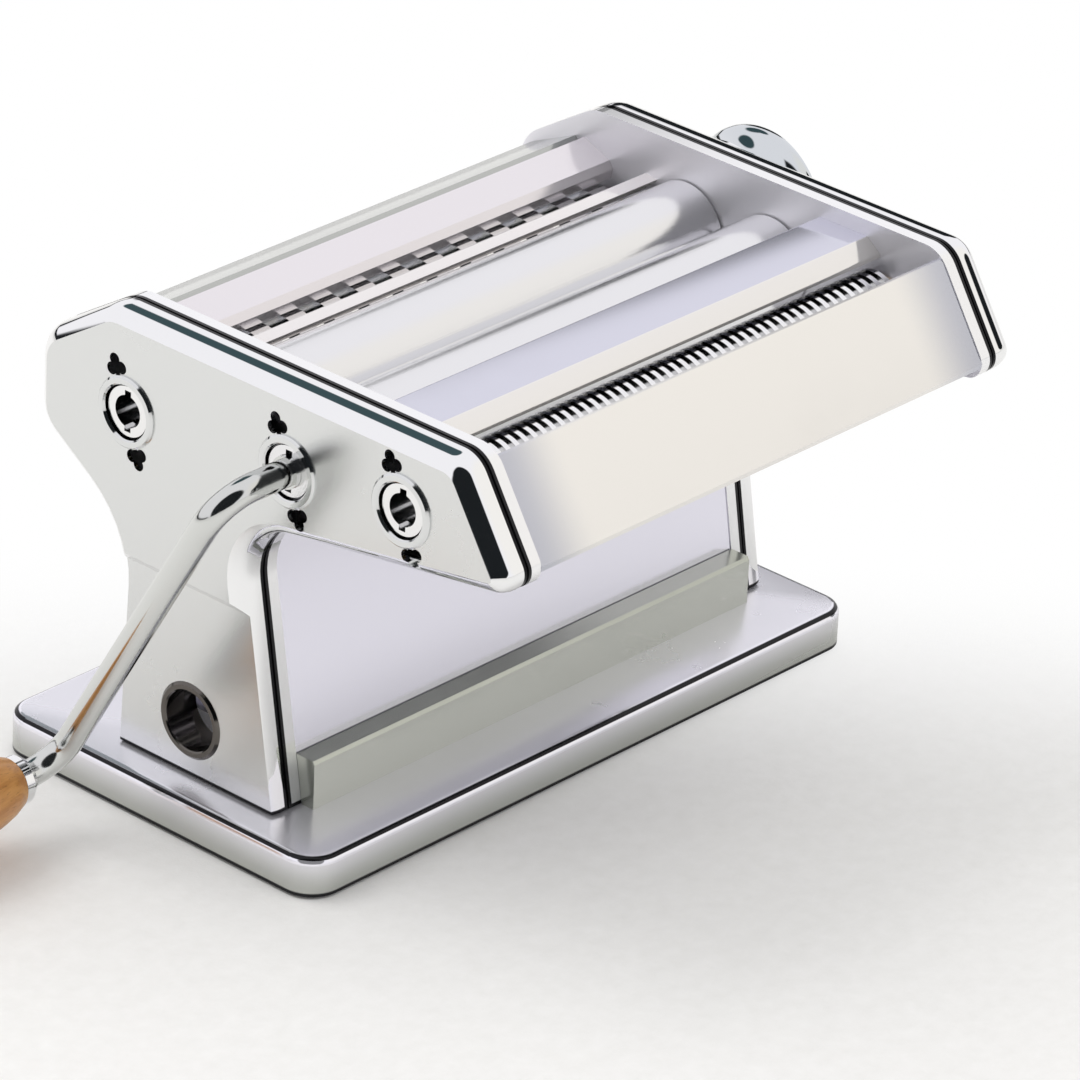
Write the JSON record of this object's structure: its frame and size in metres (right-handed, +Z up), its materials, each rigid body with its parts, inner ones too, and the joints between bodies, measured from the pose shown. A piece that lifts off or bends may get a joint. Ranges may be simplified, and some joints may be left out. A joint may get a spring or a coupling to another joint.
{
  "type": "pasta roller machine",
  "caption": "Hand-cranked kitchen machine that rolls dough between two adjustable smooth rollers and cuts the sheet with a fine or a wide pair of grooved rollers.",
  "frame": {"origin": "centre of the base, on the underside of the anti-slip mat", "axes": "+Z up; X across the machine with the crank at -X and the thickness dial at +X; the fine cutter side faces -Y and the wide cutter side faces +Y"},
  "size_m": [0.3183, 0.1709, 0.1385],
  "materials": {
    "polished_cover": "mirror-polished plated steel, pressed with a rolled edge",
    "polished_sheet": "mirror-polished plated sheet steel",
    "polished_base": "mirror-polished plated steel pan with a rolled edge",
    "frame_steel": "plain bright rolled sheet steel",
    "roller_steel": "finely ground and plated steel",
    "cutter_steel": "turned and plated steel rings",
    "gear_steel": "cut steel, lightly oiled",
    "bearing_bronze": "sintered bronze",
    "bright_fittings": "turned and plated",
    "crank_steel": "plated bent steel rod",
    "zinc_steel": "zinc plated",
    "scraper_steel": "spring steel strip",
    "mat_rubber": "black anti-slip rubber",
    "grip_wood": "turned hardwood, oiled and waxed"
  },
  "bodies": {
    "frame": {"left_side_cover": "polished_cover", "right_side_cover": "polished_cover", "front_panel": "polished_sheet", "front_guard": "polished_sheet", "rear_guard": "polished_sheet", "rear_panel": "polished_sheet", "leg_front_panel": "polished_sheet", "leg_rear_panel": "polished_sheet", "leg_front_sill": "polished_sheet", "base_pan": "polished_base", "left_side_frame": "frame_steel", "right_side_frame": "frame_steel", "leg_brackets": "frame_steel", "socket_bushes": "bearing_bronze", "journal_bushes": "bearing_bronze", "adjuster_bearing": "bearing_bronze", "socket_collars": "bright_fittings", "clamp_bush": "bright_fittings", "dial_plate": "bright_fittings", "index_pin": "bright_fittings", "base_screws": "zinc_steel", "left_standoffs": "zinc_steel", "right_standoffs": "zinc_steel", "tie_rods": "zinc_steel", "tie_rod_nuts": "zinc_steel", "main_scraper": "scraper_steel", "adjustable_scraper": "scraper_steel", "front_drive_comb": "scraper_steel", "front_mate_comb": "scraper_steel", "rear_drive_comb": "scraper_steel", "rear_mate_comb": "scraper_steel", "anti_slip_mat": "mat_rubber"},
    "main_roller": {"main_roller": "roller_steel", "main_gear": "gear_steel"},
    "crank": {"crank_arm": "crank_steel", "crank_ferrule": "bright_fittings", "grip_rivet": "bright_fittings"},
    "grip": {"crank_grip": "grip_wood"},
    "adjuster": {"adjust_shaft": "zinc_steel", "knob_screw": "bright_fittings"},
    "knob": {"adjust_knob": "bright_fittings", "knob_spring": "zinc_steel"},
    "shield": {"hub_shield": "bearing_bronze"},
    "adjustable_roller": {"adjustable_roller": "roller_steel", "adjustable_gear": "gear_steel"},
    "front_drive": {"front_drive_cutter": "cutter_steel", "front_drive_gear": "gear_steel"},
    "front_mate": {"front_mate_cutter": "cutter_steel", "front_mate_gear": "gear_steel"},
    "rear_drive": {"rear_drive_cutter": "cutter_steel", "rear_drive_gear": "gear_steel"},
    "rear_mate": {"rear_mate_cutter": "cutter_steel", "rear_mate_gear": "gear_steel"}
  },
  "joints": [
    {"name": "main_roller_spin", "type": "hinge", "parent": "frame", "child": "main_roller", "pos_m": [0, -0.0385, 0.115], "axis": [1, 0, 0], "continuous": true},
    {"name": "crank_pull", "type": "slide", "parent": "main_roller", "child": "crank", "axis": [-1, 0, 0], "range_m": [0, 0.02]},
    {"name": "grip_spin", "type": "hinge", "parent": "crank", "child": "grip", "pos_m": [-0.16, 0.01885, 0.01764], "axis": [1, 0, 0], "continuous": true},
    {"name": "dial_turn", "type": "hinge", "parent": "frame", "child": "adjuster", "pos_m": [0, -0.00985, 0.115], "axis": [1, 0, 0], "range_deg": [0, 180]},
    {"name": "dial_pull", "type": "slide", "parent": "adjuster", "child": "knob", "axis": [1, 0, 0], "range_m": [0, 0.004], "stiffness_N_per_m": 400, "deforming": ["knob_spring"]},
    {"name": "shield_keep", "type": "hinge", "parent": "adjuster", "child": "shield", "pos_m": [0, -0.0085, 0.115], "axis": [1, 0, 0], "range_deg": [-180, 0]},
    {"name": "adjustable_roller_spin", "type": "hinge", "parent": "shield", "child": "adjustable_roller", "pos_m": [0, -0.0085, 0.115], "axis": [1, 0, 0], "continuous": true},
    {"name": "front_cutter_spin", "type": "hinge", "parent": "frame", "child": "front_drive", "pos_m": [0, -0.078, 0.1188], "axis": [1, 0, 0], "continuous": true},
    {"name": "front_mate_spin", "type": "hinge", "parent": "frame", "child": "front_mate", "pos_m": [0, -0.09398, 0.11511], "axis": [1, 0, 0], "continuous": true},
    {"name": "rear_cutter_spin", "type": "hinge", "parent": "frame", "child": "rear_drive", "pos_m": [0, 0.019, 0.1108], "axis": [1, 0, 0], "continuous": true},
    {"name": "rear_mate_spin", "type": "hinge", "parent": "frame", "child": "rear_mate", "pos_m": [0, 0.00846, 0.09824], "axis": [1, 0, 0], "continuous": true}
  ],
  "couplings": [
    {"joint": "shield_keep", "follows": "dial_turn", "ratio": -1},
    {"joint": "adjustable_roller_spin", "follows": "main_roller_spin", "ratio": -1},
    {"joint": "front_mate_spin", "follows": "front_cutter_spin", "ratio": -1},
    {"joint": "rear_mate_spin", "follows": "rear_cutter_spin", "ratio": -1}
  ]
}
